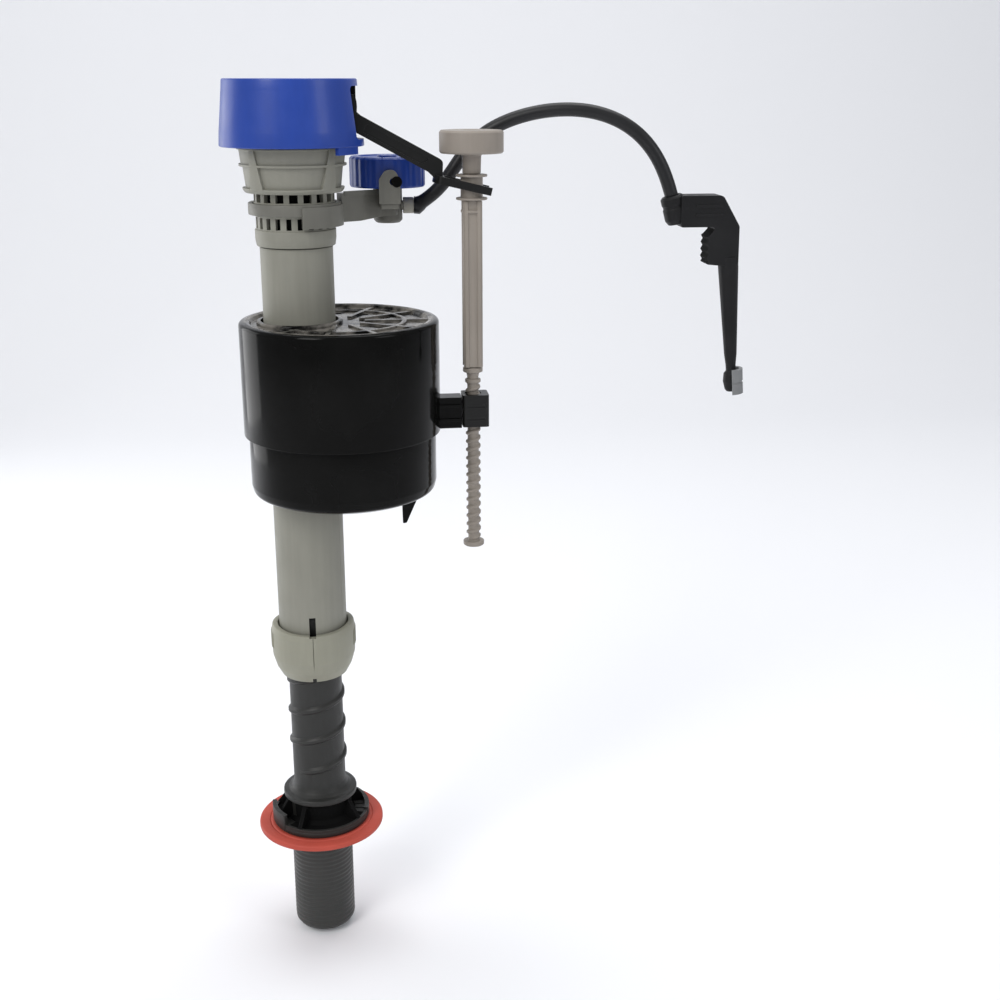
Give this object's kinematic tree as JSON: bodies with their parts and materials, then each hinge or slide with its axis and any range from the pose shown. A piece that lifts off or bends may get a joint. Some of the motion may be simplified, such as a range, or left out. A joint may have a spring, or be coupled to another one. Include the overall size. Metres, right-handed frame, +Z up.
{
  "type": "toilet fill valve",
  "caption": "Adjustable-height toilet fill valve with a float cup on the riser, a lever and adjusting rod, a refill dial, and a refill tube to an overflow-pipe clip.",
  "frame": {"origin": "centre of the tank hole at the tank's inner floor, on the shank's axis in the plane where the shank washer seats", "axes": "+Z up along the shank and riser, +X from the riser to the adjusting rod and the overflow clip, +Y to the back, away from the reading direction"},
  "size_m": [0.1895, 0.0706, 0.3256],
  "materials": {
    "dark_plastic": "satin moulded",
    "red_rubber": "matte",
    "pale_plastic": "satin moulded",
    "grey_plastic": "satin moulded",
    "black_rubber": "matte",
    "steel": "bright",
    "blue_plastic": "semi-gloss moulded",
    "black_plastic": "satin moulded",
    "beige_plastic": "satin moulded",
    "gloss_black": "high gloss moulded"
  },
  "bodies": {
    "root": {"threaded_shank": "dark_plastic", "shank_washer": "red_rubber"},
    "riser": {"lock_collar": "pale_plastic", "riser_tube": "grey_plastic", "inlet_tube": "pale_plastic", "inlet_seal_lower": "black_rubber", "inlet_seal_upper": "black_rubber", "valve_head": "grey_plastic", "valve_seat": "pale_plastic", "diaphragm": "black_rubber", "pivot_plate": "grey_plastic", "lever_pin": "steel", "valve_cap": "blue_plastic", "refill_housing": "grey_plastic", "refill_nipple": "pale_plastic", "refill_tube": "black_rubber", "overflow_adapter": "black_plastic", "spout_tip": "pale_plastic"},
    "lever": {"float_lever": "black_plastic"},
    "pilot": {"pilot_plunger": "pale_plastic"},
    "dial": {"refill_dial": "blue_plastic"},
    "spool": {"fork_spool": "beige_plastic"},
    "rod": {"adjusting_rod": "beige_plastic"},
    "float": {"float_upper": "gloss_black", "float_lower": "gloss_black", "rod_clip": "black_plastic"}
  },
  "joints": [
    {"name": "height_adjust", "type": "slide", "parent": "root", "child": "riser", "axis": [0, 0, 1], "range_m": [-0.044, 0.055]},
    {"name": "float_travel", "type": "slide", "parent": "riser", "child": "spool", "axis": [0, 0, 1], "range_m": [0, 0.015]},
    {"name": "arm_pivot", "type": "hinge", "parent": "riser", "child": "lever", "pos_m": [0.012, 0, 0.2725], "axis": [0, -1, 0], "range_deg": [0, 16.4]},
    {"name": "pilot_stroke", "type": "slide", "parent": "riser", "child": "pilot", "axis": [0, 0, -1], "range_m": [0, 0.0021]},
    {"name": "rod_turn", "type": "hinge", "parent": "spool", "child": "rod", "pos_m": [0.0615, 0, 0.25], "axis": [0, 0, 1], "range_deg": [-450, 4275]},
    {"name": "level_adjust", "type": "slide", "parent": "spool", "child": "float", "axis": [0, 0, 1], "range_m": [-0.0381, 0.0041]},
    {"name": "dial_turn", "type": "hinge", "parent": "riser", "child": "dial", "pos_m": [0.033, 0.02, 0.2444], "axis": [0, 0, 1], "range_deg": [0, 180]}
  ],
  "couplings": [
    {"joint": "arm_pivot", "follows": "float_travel", "rad_per_m": 18.97},
    {"joint": "pilot_stroke", "follows": "float_travel", "ratio": 0.133},
    {"joint": "level_adjust", "follows": "rod_turn", "m_per_rad": -0.0005093}
  ]
}
